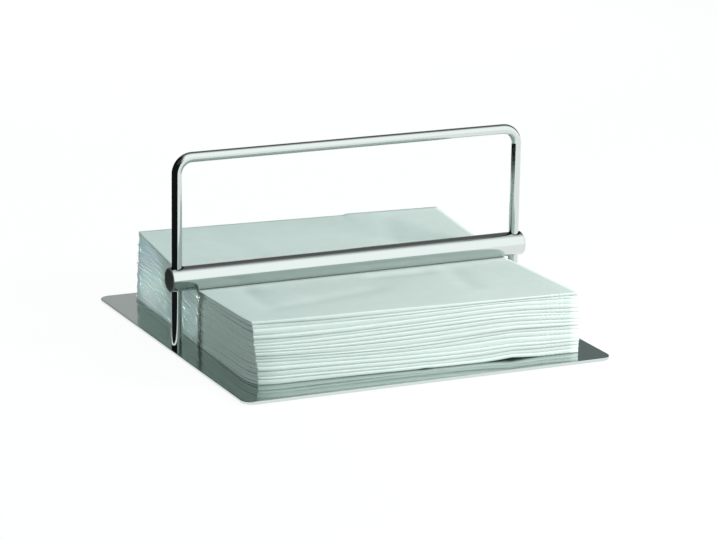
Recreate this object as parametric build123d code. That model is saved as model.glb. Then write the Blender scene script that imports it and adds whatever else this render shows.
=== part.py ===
from build123d import *

import os
from math import atan, cos, sin, tan

# Napkin holder, in millimetres. A square steel plate stands on four pads. A hoop of bent rod
# is screwed to it from below. A heavy bar slides up and down the hoop's legs and lies on the
# stack of folded napkins, which is included as it is in use.
# +Z is up, X runs along the bar, and -Y is the front. The origin is at the middle of the plate,
# on the surface that the pads stand on.

# Base plate
PLATE_SIDE = 190.0
PLATE_THICKNESS = 1.5
PLATE_CORNER_RADIUS = 6.0
PLATE_EDGE_RADIUS = 0.3

# Pads under the plate
PAD_DIAMETER = 12.0
PAD_THICKNESS = 1.0
PAD_INSET = 14.0
PAD_EDGE_CHAMFER = 0.25

# Hoop of round rod
ROD_DIAMETER = 5.0
HOOP_HEIGHT = 94.2
HOOP_INSET = 5.0
HOOP_BEND_RADIUS = 7.5

# Countersunk screws that hold the hoop
SCREW_DIAMETER = 2.5
SCREW_HEAD_DIAMETER = 4.7
SCREW_HEAD_RIM = 0.2
SCREW_REACH_IN_ROD = 7.0
SCREW_TIP_ROOM = 1.0
SCREW_PLATE_CLEARANCE = 0.1
SOCKET_ACROSS_FLATS = 1.5
SOCKET_DEPTH = 0.8

# Weighted bar
BAR_DIAMETER = 12.0
BAR_OVERHANG = 4.0
BAR_END_CHAMFER = 0.5
BAR_HOLE_CLEARANCE = 0.75
BAR_SEAT_GAP = 0.3

# Napkins: square sheets folded in four, with a margin of bare plate all round them. The bar
# presses the stack thinner along the middle.
NAPKIN_MARGIN = 13.0
NAPKIN_COUNT = 16
PRESSED_THICKNESS = 1.66
NAPKIN_GAP = 0.05
LEAF_SLIT = 0.3
FOLD_LAND = 1.2
FOLD_RADIUS = 0.8
STACK_TURN = -2.3
STACK_SHIFT_X = 1.5
STACK_STAGGER = 0.4
FRONT_RISE = 3.2
BACK_RISE = 7.0
DIP_RADIUS = 60.0

# Places that follow from the sizes above
plate_bottom = PAD_THICKNESS
plate_top = plate_bottom + PLATE_THICKNESS
leg_x = PLATE_SIDE / 2 - HOOP_INSET
hoop_axis_top = plate_top + HOOP_HEIGHT - ROD_DIAMETER / 2
napkin_side = PLATE_SIDE - 2 * NAPKIN_MARGIN
pressed_top = plate_top + NAPKIN_COUNT * PRESSED_THICKNESS
bar_length = 2 * (leg_x + BAR_OVERHANG)
bar_height = pressed_top + BAR_SEAT_GAP + BAR_DIAMETER / 2
bar_travel = hoop_axis_top - HOOP_BEND_RADIUS - BAR_DIAMETER / 2 - bar_height


def make_base_plate():
    """Polished sheet with rounded corners, eased edges and a countersunk hole under each leg."""
    plate = extrude(RectangleRounded(PLATE_SIDE, PLATE_SIDE, PLATE_CORNER_RADIUS), PLATE_THICKNESS)
    rims = plate.faces().sort_by(Axis.Z)[0].edges() + plate.faces().sort_by(Axis.Z)[-1].edges()
    plate = Pos(0, 0, plate_bottom) * fillet(rims, PLATE_EDGE_RADIUS)
    for x in (-leg_x, leg_x):
        plate -= Pos(x, 0, plate_bottom) * screw_body(PLATE_THICKNESS, SCREW_PLATE_CLEARANCE)
    return plate


def make_pad():
    """Soft round pad with a chamfered lower rim, its flat top glued to the plate."""
    pad = Pos(0, 0, PAD_THICKNESS / 2) * Cylinder(PAD_DIAMETER / 2, PAD_THICKNESS)
    return chamfer(pad.faces().sort_by(Axis.Z)[0].edges(), PAD_EDGE_CHAMFER)


def screw_body(length, clearance=0.0):
    """Countersunk head and plain shank, pointing up, with the flat of the head at z = 0."""
    head_radius = SCREW_HEAD_DIAMETER / 2 + clearance
    shank_radius = SCREW_DIAMETER / 2 + clearance
    cone_height = head_radius - shank_radius
    outline = Polyline(
        (0, 0),
        (head_radius, 0),
        (head_radius, SCREW_HEAD_RIM),
        (shank_radius, SCREW_HEAD_RIM + cone_height),
        (shank_radius, length),
        (0, length),
        close=True,
    )
    return revolve(Plane.XZ * make_face(outline), Axis.Z)


def make_screw():
    """Socket screw whose shank ends inside the rod."""
    screw = screw_body(PLATE_THICKNESS + SCREW_REACH_IN_ROD)
    socket = RegularPolygon(SOCKET_ACROSS_FLATS / 2, 6, major_radius=False)
    return screw - extrude(socket, SOCKET_DEPTH)


def make_hoop():
    """Rod bent into an upright hoop, with a hole up each leg for its screw."""
    path = FilletPolyline(
        (-leg_x, 0, plate_top),
        (-leg_x, 0, hoop_axis_top),
        (leg_x, 0, hoop_axis_top),
        (leg_x, 0, plate_top),
        radius=HOOP_BEND_RADIUS,
    )
    section = Plane(origin=path @ 0, z_dir=path % 0) * Circle(ROD_DIAMETER / 2)
    hoop = sweep(section, path=path)
    depth = SCREW_REACH_IN_ROD + SCREW_TIP_ROOM
    for x in (-leg_x, leg_x):
        hoop -= Pos(x, 0, plate_top + depth / 2) * Cylinder(SCREW_DIAMETER / 2, depth)
    return hoop


def make_press_bar():
    """Solid round bar, chamfered at its ends and drilled across for the hoop's legs."""
    bar = Rot(0, 90, 0) * Cylinder(BAR_DIAMETER / 2, bar_length)
    ends = bar.edges().filter_by(GeomType.CIRCLE)
    bar = Pos(0, 0, bar_height) * chamfer(ends, BAR_END_CHAMFER)
    hole_radius = ROD_DIAMETER / 2 + BAR_HOLE_CLEARANCE
    for x in (-leg_x, leg_x):
        bar -= Pos(x, 0, bar_height) * Cylinder(hole_radius, 2 * BAR_DIAMETER)
    return bar


def surface_line(level, offset):
    """Side view of the surface under napkin number level: it rises each way from a round dip."""
    height = plate_top + level * PRESSED_THICKNESS + offset
    share = level / NAPKIN_COUNT
    reach = napkin_side
    if share == 0:
        return [Line((-reach, height), (reach, height))]
    front_slope = atan(share * FRONT_RISE / (napkin_side / 2))
    back_slope = atan(share * BACK_RISE / (napkin_side / 2))
    dip_front = (-DIP_RADIUS * sin(front_slope), height + DIP_RADIUS * (1 - cos(front_slope)))
    dip_back = (DIP_RADIUS * sin(back_slope), height + DIP_RADIUS * (1 - cos(back_slope)))
    front_end = (-reach, dip_front[1] + (reach + dip_front[0]) * tan(front_slope))
    back_end = (reach, dip_back[1] + (reach - dip_back[0]) * tan(back_slope))
    return [
        Line(front_end, dip_front),
        ThreePointArc(dip_front, (0, height), dip_back),
        Line(dip_back, back_end),
    ]


def layer_between(low, low_offset, high, high_offset):
    """Wide slab between two surface lines, before it is cut to the napkin's outline."""
    below = surface_line(low, low_offset)
    above = surface_line(high, high_offset)
    front = Line(below[0] @ 0, above[0] @ 0)
    back = Line(below[-1] @ 1, above[-1] @ 1)
    profile = make_face(Wire(below + above + [front, back]))
    return extrude(Plane.YZ * profile, napkin_side, both=True)


def make_napkin(index):
    """Folded napkin: two double leaves with a slit between them, joined by a round front fold."""
    stagger = STACK_STAGGER * sin(2.4 * index)
    to_stack = Pos(STACK_SHIFT_X, stagger, 0) * Rot(0, 0, STACK_TURN)
    to_napkin = Rot(0, 0, -STACK_TURN) * Pos(-STACK_SHIFT_X, -stagger, 0)
    outline = Box(napkin_side, napkin_side, 4 * pressed_top)
    napkin = outline & (to_napkin * layer_between(index, 0, index + 1, -NAPKIN_GAP))
    fold_face = napkin.faces().sort_by(Axis.Y)[0]
    napkin = fillet(fold_face.edges().sort_by(SortBy.LENGTH)[-2:], FOLD_RADIUS)
    middle = index + 0.5
    slit = to_napkin * layer_between(middle, -LEAF_SLIT / 2, middle, LEAF_SLIT / 2)
    napkin -= slit & (Pos(0, FOLD_LAND, 0) * outline)
    return to_stack * napkin


def make_parts():
    """All nodes by name."""
    parts = {"base_plate": make_base_plate(), "hoop": make_hoop(), "press_bar": make_press_bar()}
    parts["hoop_screws"] = Compound([Pos(x, 0, plate_bottom) * make_screw() for x in (-leg_x, leg_x)])
    pad_place = PLATE_SIDE / 2 - PAD_INSET
    for side_name, x in (("left", -pad_place), ("right", pad_place)):
        for end_name, y in (("front", -pad_place), ("back", pad_place)):
            parts[f"pad_{end_name}_{side_name}"] = Pos(x, y, 0) * make_pad()
    for index in range(NAPKIN_COUNT):
        parts[f"napkin_{index + 1:02d}"] = make_napkin(index)
    return parts


os.makedirs("parts", exist_ok=True)
for node, shape in make_parts().items():
    export_step(shape, f"parts/{node}.step")
print(f"bar centre at {bar_height:.2f}, travel {bar_travel:.2f}")
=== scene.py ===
import random
from math import cos, exp, pi, radians, sin, tau

import bmesh
import bpy
from mathutils import Matrix, Vector


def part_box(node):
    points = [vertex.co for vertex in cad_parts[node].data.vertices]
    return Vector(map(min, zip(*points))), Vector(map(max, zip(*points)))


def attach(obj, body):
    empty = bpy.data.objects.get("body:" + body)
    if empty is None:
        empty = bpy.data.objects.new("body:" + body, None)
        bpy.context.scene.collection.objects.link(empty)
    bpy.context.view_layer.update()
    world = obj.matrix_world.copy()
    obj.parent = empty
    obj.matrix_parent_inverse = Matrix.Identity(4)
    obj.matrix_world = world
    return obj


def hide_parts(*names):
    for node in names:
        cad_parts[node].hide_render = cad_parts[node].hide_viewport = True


# A napkin holder: a square steel plate with a hoop of bent rod, a heavy bar that slides on
# the hoop, and a stack of folded paper napkins held under the bar. Metres, +Z up, -Y front.
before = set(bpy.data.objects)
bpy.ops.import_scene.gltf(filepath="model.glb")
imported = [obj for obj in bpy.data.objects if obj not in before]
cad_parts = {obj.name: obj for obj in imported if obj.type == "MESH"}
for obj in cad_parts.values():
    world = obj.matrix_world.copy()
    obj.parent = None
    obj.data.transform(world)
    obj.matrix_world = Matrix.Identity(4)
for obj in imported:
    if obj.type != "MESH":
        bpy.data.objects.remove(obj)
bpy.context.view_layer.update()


# Camera
# The photograph is taken from the front left and a little above, with a long lens and no shift.
# The camera also rolls by just under a degree, which the plate's edges show.
VIEW_AZIMUTH = radians(-25.22)
VIEW_ELEVATION = radians(15.25)
VIEW_ROLL = radians(0.886)
VIEW_DISTANCE = 1.5165
LOOK_AT = Vector((0.00486, 0.0, 0.0303))
FOCAL_PIXELS = 3114.4
PHOTO_WIDTH = 716
SENSOR_WIDTH = 36.0

to_camera = Vector((
    sin(VIEW_AZIMUTH) * cos(VIEW_ELEVATION),
    -cos(VIEW_AZIMUTH) * cos(VIEW_ELEVATION),
    sin(VIEW_ELEVATION),
))
camera_data = bpy.data.cameras.new("camera")
camera_data.sensor_width = SENSOR_WIDTH
camera_data.lens = FOCAL_PIXELS / PHOTO_WIDTH * SENSOR_WIDTH
camera = bpy.data.objects.new("camera", camera_data)
bpy.context.scene.collection.objects.link(camera)
camera.rotation_mode = "QUATERNION"
camera.rotation_quaternion = (
    (-to_camera).to_track_quat("-Z", "Y") @ Matrix.Rotation(VIEW_ROLL, 3, "Z").to_quaternion()
)
camera.location = LOOK_AT + to_camera * VIEW_DISTANCE
bpy.context.scene.camera = camera
bpy.context.scene.view_settings.view_transform = "Standard"


# Studio surroundings
# A large soft white tent, bright in front, overhead and on the right. It falls into shade above
# and behind the object and on its left, which draws the dark lines on the polished steel.
TENT_BRIGHT = 1.32
TENT_SHADE = 0.13
TENT_DARKEST = 0.05
TENT_BACK = 0.46
# Where each brightness lies, from the horizon in front (0) over the top to the one behind (1).
TENT_ARCH = (
    (0.00, TENT_BRIGHT),
    (0.40, TENT_BRIGHT),
    (0.60, TENT_SHADE),
    (0.75, TENT_SHADE),
    (0.84, TENT_DARKEST),
    (0.90, TENT_BACK),
    (1.00, TENT_BACK),
)
TENT_LEFT_SHADE = 0.04
TENT_LEFT_EDGE = -0.26
TENT_LEFT_SOFTNESS = 0.35
TENT_TINT = (0.79, 1.0, 0.975, 1.0)
# In the steel the tent shows neutral, and brighter than the light that it gives.
MIRRORED_TINT = (0.99, 1.0, 1.0, 1.0)
MIRRORED_GAIN = 1.16


def add_node(tree, kind, inputs=None, **settings):
    """Adds a shader node, sets its settings, and fills or links its inputs."""
    node = tree.nodes.new(kind)
    for name, value in settings.items():
        setattr(node, name, value)
    for key, value in (inputs or {}).items():
        if isinstance(value, bpy.types.NodeSocket):
            tree.links.new(value, node.inputs[key])
        else:
            node.inputs[key].default_value = value
    return node


def combine(tree, operation, *inputs):
    """Maths node on one to three inputs, as its output."""
    node = add_node(tree, "ShaderNodeMath", dict(enumerate(inputs)), operation=operation)
    return node.outputs[0]


def mix_colours(tree, factor, first, second):
    """Mix node between two colours, as its colour output."""
    node = add_node(tree, "ShaderNodeMix", {0: factor, 6: first, 7: second}, data_type="RGBA")
    return node.outputs[2]


def grey_ramp(tree, factor, stops):
    """Colour ramp of grey stops, given as (place, grey) pairs, as its colour output."""
    node = add_node(tree, "ShaderNodeValToRGB", {"Fac": factor})
    elements = node.color_ramp.elements
    while len(elements) < len(stops):
        elements.new(0.5)
    for element, (place, grey) in zip(elements, stops):
        element.position = place
        element.color = (grey, grey, grey, 1.0)
    return node.outputs["Color"]


world = bpy.data.worlds.new("tent")
world.use_nodes = True
bpy.context.scene.world = world
sky = world.node_tree
sky.nodes.clear()
direction = add_node(sky, "ShaderNodeTexCoord").outputs["Generated"]
sky_axes = add_node(sky, "ShaderNodeSeparateXYZ", {"Vector": direction}).outputs
towards_front = combine(sky, "MULTIPLY", sky_axes["Y"], -1.0)
over_angle = combine(sky, "ARCTAN2", sky_axes["Z"], towards_front)
tent = grey_ramp(sky, combine(sky, "DIVIDE", over_angle, pi), TENT_ARCH)
left_share = add_node(
    sky,
    "ShaderNodeMapRange",
    {
        "Value": sky_axes["X"],
        "From Min": TENT_LEFT_EDGE - TENT_LEFT_SOFTNESS / 2,
        "From Max": TENT_LEFT_EDGE + TENT_LEFT_SOFTNESS / 2,
        "To Min": TENT_LEFT_SHADE,
        "To Max": 1.0,
    },
    interpolation_type="SMOOTHSTEP",
)
mirrored = add_node(sky, "ShaderNodeLightPath").outputs["Is Glossy Ray"]
mirrored_gain = add_node(
    sky, "ShaderNodeMapRange", {"Value": mirrored, "To Min": 1.0, "To Max": MIRRORED_GAIN}
)
tent_level = combine(sky, "MULTIPLY", tent, left_share.outputs[0])
sky_background = add_node(
    sky,
    "ShaderNodeBackground",
    {
        "Color": mix_colours(sky, mirrored, TENT_TINT, MIRRORED_TINT),
        "Strength": combine(sky, "MULTIPLY", tent_level, mirrored_gain.outputs[0]),
    },
)
add_node(sky, "ShaderNodeOutputWorld", {"Surface": sky_background.outputs[0]})


# Lamps
# A soft box at the front right lights the folded front of the stack and its top. One at the
# back left casts the leg's shadow on the stack's left side, and a narrow beam from there lights
# the rear half of that side. A weak one behind fills the back.
WARM_TINT = (1.0, 0.925, 0.935)
COOL_TINT = (0.84, 1.0, 0.975)


def add_lamp(name, place, aim, width, height, power, tint, spread=180.0):
    """Rectangular area lamp at a place, turned to its aim, that polished steel doesn't mirror."""
    data = bpy.data.lights.new(name, "AREA")
    data.shape = "RECTANGLE"
    data.size = width
    data.size_y = height
    data.energy = power
    data.color = tint
    data.spread = radians(spread)
    lamp = bpy.data.objects.new(name, data)
    lamp.location = place
    lamp.rotation_mode = "QUATERNION"
    lamp.rotation_quaternion = (Vector(aim) - Vector(place)).to_track_quat("-Z", "Y")
    lamp.visible_glossy = False
    bpy.context.scene.collection.objects.link(lamp)


add_lamp(
    "front_soft_box",
    place=(0.42, -0.42, 0.32),
    aim=(0.03, -0.06, 0.02),
    width=0.22,
    height=0.22,
    power=2.7,
    tint=WARM_TINT,
)
add_lamp(
    "left_soft_box",
    place=(-0.62, 0.28, 0.16),
    aim=(-0.08, -0.02, 0.015),
    width=0.16,
    height=0.12,
    power=0.92,
    tint=COOL_TINT,
)
add_lamp(
    "side_beam",
    place=(-0.40, 0.306, 0.04),
    aim=(-0.08, 0.042, 0.017),
    width=0.070,
    height=0.036,
    power=0.0039,
    tint=COOL_TINT,
    spread=1.6,
)
add_lamp(
    "back_soft_box",
    place=(0.25, 0.90, 0.10),
    aim=(0.0, 0.08, 0.02),
    width=0.40,
    height=0.16,
    power=2.0,
    tint=COOL_TINT,
)


# Dark cards
# Two studio cards that only the steel mirrors: a black one on the table and round the left side,
# which the hoop's left leg and the bar's end reflect, and a grey one behind the right corner.
LEFT_CARD = ((-0.42, -0.45), (-0.105, 0.55))
LEFT_CARD_SHADE = (0.009, 0.012, 0.012, 1.0)
BACK_CARD = ((0.19, 0.40), (0.50, 0.41))
BACK_CARD_SHADE = (0.185, 0.22, 0.215, 1.0)
CARD_HEIGHT = 0.30
CARD_OVER_TABLE = 0.0002


def add_card(name, corners, shade, open_right):
    """Card on the table over a rectangle, walled on all its sides or on all but the right."""
    (left, front), (right, back) = corners
    middle = ((left + right) / 2, (front + back) / 2, CARD_OVER_TABLE)
    shape = bmesh.new()
    bmesh.ops.create_grid(shape, x_segments=1, y_segments=1, size=0.5)
    bmesh.ops.scale(shape, vec=(right - left, back - front, 1.0), verts=shape.verts)
    bmesh.ops.translate(shape, vec=middle, verts=shape.verts)
    walls = []
    for edge in shape.edges:
        on_right = min(vert.co.x for vert in edge.verts) > middle[0]
        if not (open_right and on_right):
            walls.append(edge)
    raised = bmesh.ops.extrude_edge_only(shape, edges=walls)["geom"]
    tops = [part for part in raised if isinstance(part, bmesh.types.BMVert)]
    bmesh.ops.translate(shape, vec=(0.0, 0.0, CARD_HEIGHT), verts=tops)
    data = bpy.data.meshes.new(name)
    shape.to_mesh(data)
    shape.free()
    paint = bpy.data.materials.new(name)
    paint.use_nodes = True
    paint.node_tree.nodes.clear()
    flat = add_node(paint.node_tree, "ShaderNodeEmission", {"Color": shade})
    add_node(paint.node_tree, "ShaderNodeOutputMaterial", {"Surface": flat.outputs[0]})
    data.materials.append(paint)
    card = bpy.data.objects.new(name, data)
    bpy.context.scene.collection.objects.link(card)
    card.visible_camera = False
    card.visible_diffuse = False
    card.visible_shadow = False
    card.visible_transmission = False


add_card("left_card", LEFT_CARD, LEFT_CARD_SHADE, open_right=True)
add_card("back_card", BACK_CARD, BACK_CARD_SHADE, open_right=False)


# Floor
# The white table top of the studio. It keeps the holder's shadow, and its paleness also shows
# in the polished steel.
FLOOR_HALF_SIDE = 3.0
FLOOR_COLOUR = (0.3, 0.3, 0.3, 1.0)
FLOOR_GLOW_SHARE = 0.72
FLOOR_GLOW = 1.30

floor_shape = bmesh.new()
bmesh.ops.create_grid(floor_shape, x_segments=1, y_segments=1, size=FLOOR_HALF_SIDE)
floor_data = bpy.data.meshes.new("floor")
floor_shape.to_mesh(floor_data)
floor_shape.free()
floor = bpy.data.objects.new("floor", floor_data)
bpy.context.scene.collection.objects.link(floor)

floor_paint = bpy.data.materials.new("white_table")
floor_paint.use_nodes = True
floor_tree = floor_paint.node_tree
floor_tree.nodes.clear()
matt = add_node(floor_tree, "ShaderNodeBsdfDiffuse", {"Color": FLOOR_COLOUR}).outputs[0]
glow = add_node(
    floor_tree, "ShaderNodeEmission", {"Color": (1.0, 1.0, 1.0, 1.0), "Strength": FLOOR_GLOW}
).outputs[0]
rays = add_node(floor_tree, "ShaderNodeLightPath").outputs
glow_share = combine(floor_tree, "MULTIPLY", rays["Is Camera Ray"], FLOOR_GLOW_SHARE)
glow_share = combine(floor_tree, "MAXIMUM", glow_share, rays["Is Glossy Ray"])
glow_share = combine(floor_tree, "MAXIMUM", glow_share, rays["Is Transmission Ray"])
floor_mix = add_node(floor_tree, "ShaderNodeMixShader", {0: glow_share, 1: matt, 2: glow})
add_node(floor_tree, "ShaderNodeOutputMaterial", {"Surface": floor_mix.outputs[0]})
floor_data.materials.append(floor_paint)


# Base plate
# A 190 mm square of 1.5 mm stainless sheet, cut with rounded corners and polished to a fine
# satin that still mirrors what stands on it. The stack lies on it, and the hoop is screwed to it.
PLATE_TINT = (0.505, 0.57, 0.55, 1.0)
# Shares of a steel's roughness, in and out of its grain and where it was handled less or more.
GRAIN_SHARES = (0.75, 1.35)
WEAR_SHARES = (0.94, 1.04)
WEAR_SCALE = 45.0
WEAR_CONTRAST = (0.35, 0.70)


def make_steel(name, tint, roughness, grain_scale, grain_stretch, grain_depth):
    """Satin stainless steel with a fine grain that runs the way the sheet or rod was finished."""
    material = bpy.data.materials.new(name)
    material.use_nodes = True
    tree = material.node_tree
    shader = tree.nodes["Principled BSDF"]
    place = add_node(tree, "ShaderNodeTexCoord").outputs["Object"]
    along = add_node(tree, "ShaderNodeMapping", {"Vector": place, "Scale": grain_stretch})
    grain = add_node(
        tree,
        "ShaderNodeTexNoise",
        {"Vector": along.outputs[0], "Scale": grain_scale, "Detail": 6.0, "Roughness": 0.65},
    ).outputs[0]
    cloud = add_node(
        tree,
        "ShaderNodeTexNoise",
        {"Vector": place, "Scale": WEAR_SCALE, "Detail": 3.0, "Roughness": 0.5},
    ).outputs[0]
    polish = add_node(
        tree,
        "ShaderNodeMapRange",
        {
            "Value": grain,
            "To Min": roughness * GRAIN_SHARES[0],
            "To Max": roughness * GRAIN_SHARES[1],
        },
    ).outputs[0]
    wear = add_node(
        tree,
        "ShaderNodeMapRange",
        {
            "Value": cloud,
            "From Min": WEAR_CONTRAST[0],
            "From Max": WEAR_CONTRAST[1],
            "To Min": WEAR_SHARES[0],
            "To Max": WEAR_SHARES[1],
        },
    ).outputs[0]
    relief = add_node(
        tree, "ShaderNodeBump", {"Height": grain, "Strength": 1.0, "Distance": grain_depth}
    )
    tree.links.new(combine(tree, "MULTIPLY", polish, wear), shader.inputs["Roughness"])
    tree.links.new(relief.outputs[0], shader.inputs["Normal"])
    shader.inputs["Base Color"].default_value = tint
    shader.inputs["Metallic"].default_value = 1.0
    return material


def finish_node(name, material):
    """Gives a CAD node its finish."""
    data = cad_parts[name].data
    data.materials.clear()
    data.materials.append(material)


plate_steel = make_steel(
    "plate_steel",
    tint=PLATE_TINT,
    roughness=0.10,
    grain_scale=900.0,
    grain_stretch=(0.02, 1.0, 1.0),
    grain_depth=0.0000006,
)
finish_node("base_plate", plate_steel)


# Hoop
# One length of 5 mm stainless rod, bent cold at two corners and polished along its length.
# Its ends stand on the plate and are held by a screw from below.
ROD_TINT = (0.535, 0.58, 0.567, 1.0)

rod_steel = make_steel(
    "rod_steel",
    tint=ROD_TINT,
    roughness=0.10,
    grain_scale=700.0,
    grain_stretch=(0.03, 1.0, 0.03),
    grain_depth=0.0000004,
)
finish_node("hoop", rod_steel)


# Press bar
# A solid bar of 12 mm stainless, turned, faced and chamfered at its ends and drilled across for
# the hoop's legs. Its weight holds the napkins, and it slides up when they are topped up.
BAR_END_CHAMFER = 0.0005
# The faces across the ends are left as turned, and the chamfers round them are duller yet. The
# duller finish reaches a little way over the rim, onto the face.
END_ROUGHNESS = 0.42
CHAMFER_ROUGHNESS = 0.75
RIM_OVERLAP = 0.0001

bar_steel = make_steel(
    "bar_steel",
    tint=ROD_TINT,
    roughness=0.12,
    grain_scale=800.0,
    grain_stretch=(1.0, 0.03, 0.03),
    grain_depth=0.0000006,
)
finish_node("press_bar", bar_steel)

bar_low, bar_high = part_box("press_bar")
bar_centre = (bar_low + bar_high) / 2
end_face_x = bar_high.x - BAR_END_CHAMFER
end_disc_radius = (bar_high.z - bar_low.z) / 2 - BAR_END_CHAMFER - RIM_OVERLAP
bar_tree = bar_steel.node_tree
bar_roughness = bar_tree.nodes["Principled BSDF"].inputs["Roughness"]
bar_place = add_node(bar_tree, "ShaderNodeTexCoord").outputs["Object"]
bar_axes = add_node(bar_tree, "ShaderNodeSeparateXYZ", {"Vector": bar_place}).outputs
from_middle = combine(bar_tree, "ABSOLUTE", bar_axes["X"])
on_end = combine(bar_tree, "GREATER_THAN", from_middle, end_face_x)
from_centre = add_node(
    bar_tree, "ShaderNodeVectorMath", {0: bar_place, 1: bar_centre}, operation="SUBTRACT"
)
across_axis = add_node(
    bar_tree,
    "ShaderNodeVectorMath",
    {0: from_centre.outputs[0], 1: (0.0, 1.0, 1.0)},
    operation="MULTIPLY",
)
radius = add_node(
    bar_tree, "ShaderNodeVectorMath", {0: across_axis.outputs[0]}, operation="LENGTH"
)
on_rim = combine(bar_tree, "GREATER_THAN", radius.outputs["Value"], end_disc_radius)
end_polish = add_node(
    bar_tree,
    "ShaderNodeMapRange",
    {"Value": on_rim, "To Min": END_ROUGHNESS, "To Max": CHAMFER_ROUGHNESS},
)
side_polish = bar_roughness.links[0].from_socket
polish = add_node(
    bar_tree, "ShaderNodeMix", {"Factor": on_end, "A": side_polish, "B": end_polish.outputs[0]}
)
bar_tree.links.new(polish.outputs["Result"], bar_roughness)


# Screws and pads
# Two small countersunk socket screws lie flush in the plate's underside, and four black rubber
# pads are glued near its corners.
PORE_SCALE = 2500.0
PORE_DEPTH = 0.00003

screw_steel = make_steel(
    "screw_steel",
    tint=(0.50, 0.52, 0.51, 1.0),
    roughness=0.3,
    grain_scale=900.0,
    grain_stretch=(1.0, 1.0, 0.1),
    grain_depth=0.000002,
)
finish_node("hoop_screws", screw_steel)

pad_rubber = bpy.data.materials.new("pad_rubber")
pad_rubber.use_nodes = True
pad_tree = pad_rubber.node_tree
pad_shader = pad_tree.nodes["Principled BSDF"]
pad_place = add_node(pad_tree, "ShaderNodeTexCoord").outputs["Object"]
pores = add_node(
    pad_tree, "ShaderNodeTexNoise", {"Vector": pad_place, "Scale": PORE_SCALE, "Detail": 2.0}
)
pitted = add_node(
    pad_tree, "ShaderNodeBump", {"Height": pores.outputs[0], "Distance": PORE_DEPTH}
)
pad_tree.links.new(pitted.outputs[0], pad_shader.inputs["Normal"])
pad_shader.inputs["Base Color"].default_value = (0.03, 0.03, 0.03, 1.0)
pad_shader.inputs["Roughness"].default_value = 0.75
for end in ("front", "back"):
    for side in ("left", "right"):
        finish_node(f"pad_{end}_{side}", pad_rubber)


# Napkins
# Sixteen tissue sheets of 328 by 320 mm, each folded in two and in two again, with the round
# folds to the front. The bar presses the stack thin along its middle, so it rises to the front
# and the back. Each napkin lies and folds a little differently from the next.
NAPKIN_COUNT = 16
SHEET_WIDTH = 0.328
SHEET_DEPTH = 0.320
PLY_THICKNESS = 0.00034
# The first fold, on the left, is tight and pressed. It leaves two leaves that lie together, and
# the second fold, at the front, turns both of them round a wider radius.
PAIR_RADIUS = 0.00021
PAIR_BULGE = 0.5
FOLD_RADIUS = 0.00042
# The front fold is pressed flatter in some places than in others, and flattest on the right.
FOLD_BULGE = 0.5
FOLD_BULGE_SWING = 0.35
FOLD_BULGE_WAVE = 32.0
FLATTER_ON_RIGHT = 0.6
# Close grid lines near a fold, and the number of lines from a fold to the sheet's edge.
FOLD_STEPS = 7
FOLD_STEP = 0.00022
HALF_STEPS = 40
TOP_HALF_STEPS = 90
# Corners of the lowest and the highest napkin in plan: front left, front right, back right and
# back left. The folds are a little out of square, as folded tissue is.
LOW_CORNERS = ((-0.0822, -0.0742), (0.0828, -0.0827), (0.0850, 0.0790), (-0.0780, 0.0850))
HIGH_CORNERS = ((-0.0832, -0.0728), (0.0828, -0.0805), (0.0858, 0.0778), (-0.0760, 0.0862))
HALF_STACK = 0.080
BAR_OVER_NAPKINS = 0.0001
FRONT_RISE_LEFT = 0.0041
FRONT_RISE_RIGHT = 0.0026
BACK_RISE = 0.0070
RISE_POWER = 0.95
# The front is loose from here on, as a share of the way from the bar to the folds.
LOOSE_FROM = 0.5
# The folds swell apart round one place at the front: its middle, half width and height.
SWELL = (0.046, 0.026, 0.0011)
# The lowest folds stand clear of the plate at two more: middle, half width, height and power.
LIFTS = ((0.048, 0.016, 0.0009, 1.5), (0.002, 0.004, 0.0004, 1.0))
# Each napkin's share of the height at the front, and how it waves along the folds.
STACK_SEED = 7
LAYER_WEIGHTS = (0.72, 1.28)
LAYER_WAVES = (14.0, 46.0)
LAYER_RIPPLE = 0.22
# How far each napkin's front is set back or lies to the right, and how its fold line waves.
SET_BACKS = (-0.0003, 0.0004)
SIDE_SLIPS = (-0.0003, 0.0003)
FOLD_LINE_RIPPLE = 0.00025
FOLD_LINE_WAVE = 1.7
# The front left corners are round, most on the lowest napkin: how much they give way on the top
# one and how much more lower down, and how far that reaches along the side and the front.
CORNER_GIVE = 0.0006
LOW_CORNER_GIVE = 0.0028
CORNER_SIDE = 0.016
CORNER_SIDE_WIDTH = 0.012
CORNER_FRONT = 0.014
CORNER_FRONT_SHARE = 0.5
# The loose edges of the leaves don't lie flush: how far they slip at the back and on the right.
BACK_SLIP = 0.00035
RIGHT_SLIP = 0.00012
# The slip differs by napkin: a sine sets it, which turns on by this much for each one.
BACK_SLIP_TURN = 3.7
RIGHT_SLIP_TURN = 5.1
# The top leaf's back edge is kinked up a little from here to its right corner.
KINK_X = 0.0345
KINK_RISE = 0.0006
TOP_LEAF_SHARE = 0.97
# Soft dents and creases of the top napkins: where each starts and ends in plan, and its half
# width and depth. One of negative depth is a ridge. They fade out at this share of the height.
CREASES_FROM = 0.7
CREASES = (
    ((-0.060, -0.012), (-0.064, -0.052), 0.0045, 0.00050),
    ((-0.052, -0.010), (-0.045, -0.040), 0.0060, -0.00035),
    ((-0.057, -0.050), (-0.005, -0.036), 0.0060, 0.00045),
    ((0.010, -0.012), (0.034, -0.013), 0.0050, 0.00060),
    ((0.048, -0.014), (0.041, -0.050), 0.0055, 0.00045),
    ((0.015, -0.040), (0.030, -0.058), 0.0140, -0.00050),
    ((-0.030, 0.020), (-0.045, 0.070), 0.0070, 0.00050),
    ((0.040, 0.030), (0.052, 0.068), 0.0060, 0.00045),
)

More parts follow.
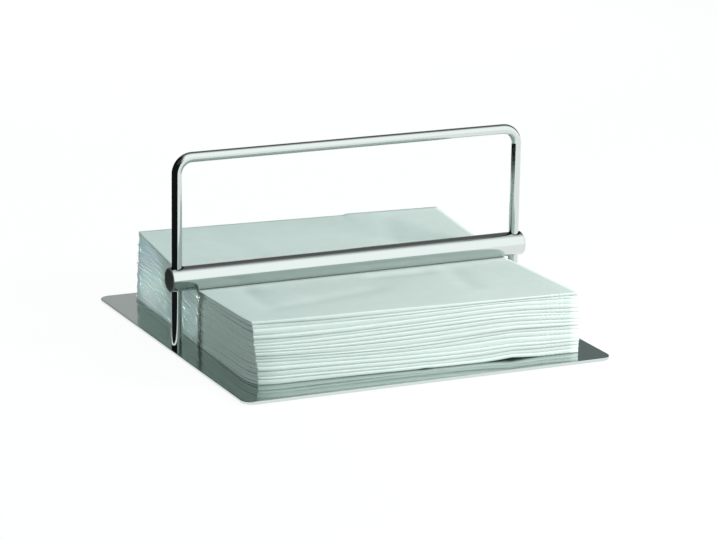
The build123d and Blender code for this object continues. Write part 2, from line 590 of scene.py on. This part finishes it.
plate_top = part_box("base_plate")[1].z
pressed_height = bar_low.z - BAR_OVER_NAPKINS - plate_top
chance = random.Random(STACK_SEED)
layer_weight = [chance.uniform(*LAYER_WEIGHTS) for _ in range(NAPKIN_COUNT)]
layer_phase = [chance.uniform(0.0, tau) for _ in range(NAPKIN_COUNT)]
layer_wave = [chance.uniform(*LAYER_WAVES) for _ in range(NAPKIN_COUNT)]
layer_press = [chance.uniform(0.0, tau) for _ in range(NAPKIN_COUNT)]


def flat_place(step, side, half_steps):
    """Distance from the fold line of a grid line, with close lines near the fold."""
    near = min(abs(step), FOLD_STEPS) * FOLD_STEP
    far = max(abs(step) - FOLD_STEPS, 0) / (half_steps - FOLD_STEPS)
    return (near + far * (side / 2 - FOLD_STEPS * FOLD_STEP)) * (1 if step >= 0 else -1)


def bend_round(distance, radius):
    """How a sheet runs on from a fold line: its bend there, and what lies past the bend."""
    bend = max(-pi / 2, min(pi / 2, distance / radius))
    return bend, max(0.0, abs(distance) - radius * pi / 2)


def fold_twice(across, along, press):
    """A flat point once folded: from the left and the front fold, and its height, -1 to 1."""
    bend, past = bend_round(across, PAIR_RADIUS)
    x = PAIR_RADIUS * (1 - PAIR_BULGE * cos(bend)) + past
    out_of_pair = PAIR_RADIUS * sin(bend)
    bend, past = bend_round(along, FOLD_RADIUS)
    bulge = FOLD_RADIUS * (FOLD_BULGE + FOLD_BULGE_SWING * sin(FOLD_BULGE_WAVE * x + press))
    bulge *= 1 - FLATTER_ON_RIGHT * x / (SHEET_WIDTH / 2)
    y = FOLD_RADIUS - (bulge + out_of_pair) * cos(bend) + past
    height = (FOLD_RADIUS + out_of_pair) * sin(bend) / (PAIR_RADIUS + FOLD_RADIUS)
    return x, y, height


def layer_shares(x, front):
    """Share of the stack's height under each napkin: uneven at the front, where they are loose."""
    loose = [
        1.0 + front * (weight - 1.0 + LAYER_RIPPLE * sin(wave * x + phase))
        for weight, phase, wave in zip(layer_weight, layer_phase, layer_wave)
    ]
    total = sum(loose)
    shares = [0.0]
    for part in loose:
        shares.append(shares[-1] + part / total)
    return shares


def crease_depth(x, y):
    """How far the creases lower the top napkin over a place in plan."""
    place = Vector((x, y))
    depth = 0.0
    for start, end, half_width, full_depth in CREASES:
        run = Vector(end) - Vector(start)
        share = max(0.0, min(1.0, (place - Vector(start)).dot(run) / run.length_squared))
        away = (place - Vector(start) - run * share).length / half_width
        depth += full_depth * exp(-away * away)
    return depth


def stack_surface(x, y, share):
    """Height of the surface at a share of the stack's height, over a place in plan."""
    front = max(-y, 0.0) / HALF_STACK
    back = max(y, 0.0) / HALF_STACK
    rightwards = 0.5 + x / (2 * HALF_STACK)
    front_rise = FRONT_RISE_LEFT + (FRONT_RISE_RIGHT - FRONT_RISE_LEFT) * rightwards
    total = pressed_height + front_rise * front ** RISE_POWER + BACK_RISE * back ** RISE_POWER
    loose = max(0.0, front - LOOSE_FROM) / (1 - LOOSE_FROM)
    middle, half_width, rise = SWELL
    swell = rise * exp(-(((x - middle) / half_width) ** 2)) * sin(pi * share) * loose
    lift = 0.0
    for middle, half_width, rise, power in LIFTS:
        lift += rise * max(0.0, 1 - abs(x - middle) / half_width) ** power
    height = plate_top + share * total + swell + lift * (1 - share) ** 3 * loose ** 2
    if share > CREASES_FROM:
        height -= crease_depth(x, y) * ((share - CREASES_FROM) / (1 - CREASES_FROM)) ** 2
    if share > TOP_LEAF_SHARE and x > KINK_X:
        height += KINK_RISE * back ** 8
    return height


def in_plan(across, depth, share):
    """Place in plan of a napkin's point, from its shares across and from front to back."""
    corners = [
        Vector(low).lerp(Vector(high), share) for low, high in zip(LOW_CORNERS, HIGH_CORNERS)
    ]
    front = corners[0].lerp(corners[1], across)
    back = corners[3].lerp(corners[2], across)
    return front.lerp(back, depth)


# The tissue is faintly mottled. A band of small embossed dots runs round each sheet near its edge.
TISSUE_DARK = (0.79, 0.85, 0.815, 1.0)
TISSUE_PALE = (0.84, 0.90, 0.865, 1.0)
MOTTLE_SCALE = 120.0
FIBRE_SCALE = 1600.0
FIBRE_DEPTH = 0.00003
FIBRE_STRENGTH = 0.6
EMBOSS_MIDDLE = 0.014
EMBOSS_HALF_WIDTH = 0.007
EMBOSS_PITCH = 0.0024
EMBOSS_DEPTH = 0.00006

tissue = bpy.data.materials.new("tissue")
tissue.use_nodes = True
tissue_tree = tissue.node_tree
tissue_shader = tissue_tree.nodes["Principled BSDF"]
tissue_place = add_node(tissue_tree, "ShaderNodeTexCoord").outputs["Object"]
fibres = add_node(
    tissue_tree, "ShaderNodeTexNoise", {"Vector": tissue_place, "Scale": FIBRE_SCALE, "Detail": 4.0}
)
mottle = add_node(
    tissue_tree, "ShaderNodeTexNoise", {"Vector": tissue_place, "Scale": MOTTLE_SCALE, "Detail": 3.0}
)
on_sheet = add_node(tissue_tree, "ShaderNodeUVMap", uv_map="sheet").outputs[0]
sheet_axes = add_node(tissue_tree, "ShaderNodeSeparateXYZ", {"Vector": on_sheet}).outputs
edge_distances = []
dot_waves = []
for axis, side in (("X", SHEET_WIDTH), ("Y", SHEET_DEPTH)):
    off_middle = combine(tissue_tree, "SUBTRACT", sheet_axes[axis], 0.5)
    off_middle = combine(tissue_tree, "MULTIPLY", off_middle, side)
    from_fold = combine(tissue_tree, "ABSOLUTE", off_middle)
    edge_distances.append(combine(tissue_tree, "SUBTRACT", side / 2, from_fold))
    turns = combine(tissue_tree, "MULTIPLY", off_middle, tau / EMBOSS_PITCH)
    dot_waves.append(combine(tissue_tree, "SINE", turns))
from_edge = combine(tissue_tree, "MINIMUM", *edge_distances)
in_band = combine(tissue_tree, "COMPARE", from_edge, EMBOSS_MIDDLE, EMBOSS_HALF_WIDTH)
dots = combine(tissue_tree, "MULTIPLY", combine(tissue_tree, "MULTIPLY", *dot_waves), in_band)
soft = add_node(
    tissue_tree,
    "ShaderNodeBump",
    {"Height": fibres.outputs[0], "Distance": FIBRE_DEPTH, "Strength": FIBRE_STRENGTH},
)
embossed = add_node(
    tissue_tree,
    "ShaderNodeBump",
    {"Height": dots, "Distance": EMBOSS_DEPTH, "Normal": soft.outputs[0]},
)
colour = mix_colours(tissue_tree, mottle.outputs[0], TISSUE_DARK, TISSUE_PALE)
tissue_tree.links.new(colour, tissue_shader.inputs["Base Color"])
tissue_tree.links.new(embossed.outputs[0], tissue_shader.inputs["Normal"])
tissue_shader.inputs["Roughness"].default_value = 0.95
tissue_shader.inputs["Specular IOR Level"].default_value = 0.15


def make_napkin(index):
    """Flat sheet, folded in two from side to side and in two again to the back, and laid down."""
    shape = bmesh.new()
    steps = TOP_HALF_STEPS if index == NAPKIN_COUNT - 1 else HALF_STEPS
    bmesh.ops.create_grid(shape, x_segments=2 * steps, y_segments=2 * steps, size=1.0)
    layer = shape.loops.layers.uv.new("sheet")
    set_back = chance.uniform(*SET_BACKS)
    slip = chance.uniform(*SIDE_SLIPS)
    give = LOW_CORNER_GIVE * (1 - index / NAPKIN_COUNT) + CORNER_GIVE
    flat = {}
    for vert in shape.verts:
        across = flat_place(round(vert.co.x * steps), SHEET_WIDTH, steps)
        along = flat_place(round(vert.co.y * steps), SHEET_DEPTH, steps)
        flat[vert] = (across, along)
    for face in shape.faces:
        for corner in face.loops:
            across, along = flat[corner.vert]
            corner[layer].uv = (across / SHEET_WIDTH + 0.5, along / SHEET_DEPTH + 0.5)
    for vert, (across, along) in flat.items():
        x, y, height = fold_twice(across, along, layer_press[index])
        to_right = x / (SHEET_WIDTH / 2)
        to_back = y / (SHEET_DEPTH / 2)
        spot = in_plan(to_right, to_back, (index + 0.5) / NAPKIN_COUNT)
        # The four leaves lie in an upper and a lower pair, each with an outer and an inner leaf.
        pair = 1 if along >= 0 else -1
        leaf = 1 if across >= 0 else -1
        right_slip = RIGHT_SLIP * sin(RIGHT_SLIP_TURN * index)
        back_slip = BACK_SLIP * sin(BACK_SLIP_TURN * index + 1)
        spot.x += right_slip * to_right ** 4 * (leaf + pair * to_back)
        spot.y += back_slip * to_back ** 4 * (pair + leaf * to_right)
        front = max(0.0, 1 - y / HALF_STACK)
        side_give = max(0.0, 1 - y / CORNER_SIDE) ** 2 * max(0.0, 1 - x / CORNER_SIDE_WIDTH)
        front_give = max(0.0, 1 - x / CORNER_FRONT) ** 2 * front ** 8
        spot.x += slip + give * side_give
        spot.y += set_back * front + give * CORNER_FRONT_SHARE * front_give
        fold_line = sin(layer_wave[index] * spot.x * FOLD_LINE_WAVE + layer_phase[index])
        spot.y += FOLD_LINE_RIPPLE * fold_line * front ** 4
        shares = layer_shares(spot.x, front)
        low = stack_surface(spot.x, spot.y, shares[index]) + PLY_THICKNESS / 2
        high = stack_surface(spot.x, spot.y, shares[index + 1]) - PLY_THICKNESS / 2
        vert.co = (spot.x, spot.y, low + (high - low) * (height + 1) / 2)
    bmesh.ops.recalc_face_normals(shape, faces=shape.faces)
    name = f"folded_napkin_{index + 1:02d}"
    data = bpy.data.meshes.new(name)
    shape.to_mesh(data)
    shape.free()
    data.shade_smooth()
    data.materials.append(tissue)
    napkin = bpy.data.objects.new(name, data)
    bpy.context.scene.collection.objects.link(napkin)
    body = napkin.modifiers.new("ply", "SOLIDIFY")
    body.thickness = PLY_THICKNESS
    body.offset = 0.0
    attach(napkin, "holder")
    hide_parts(f"napkin_{index + 1:02d}")


for index in range(NAPKIN_COUNT):
    make_napkin(index)
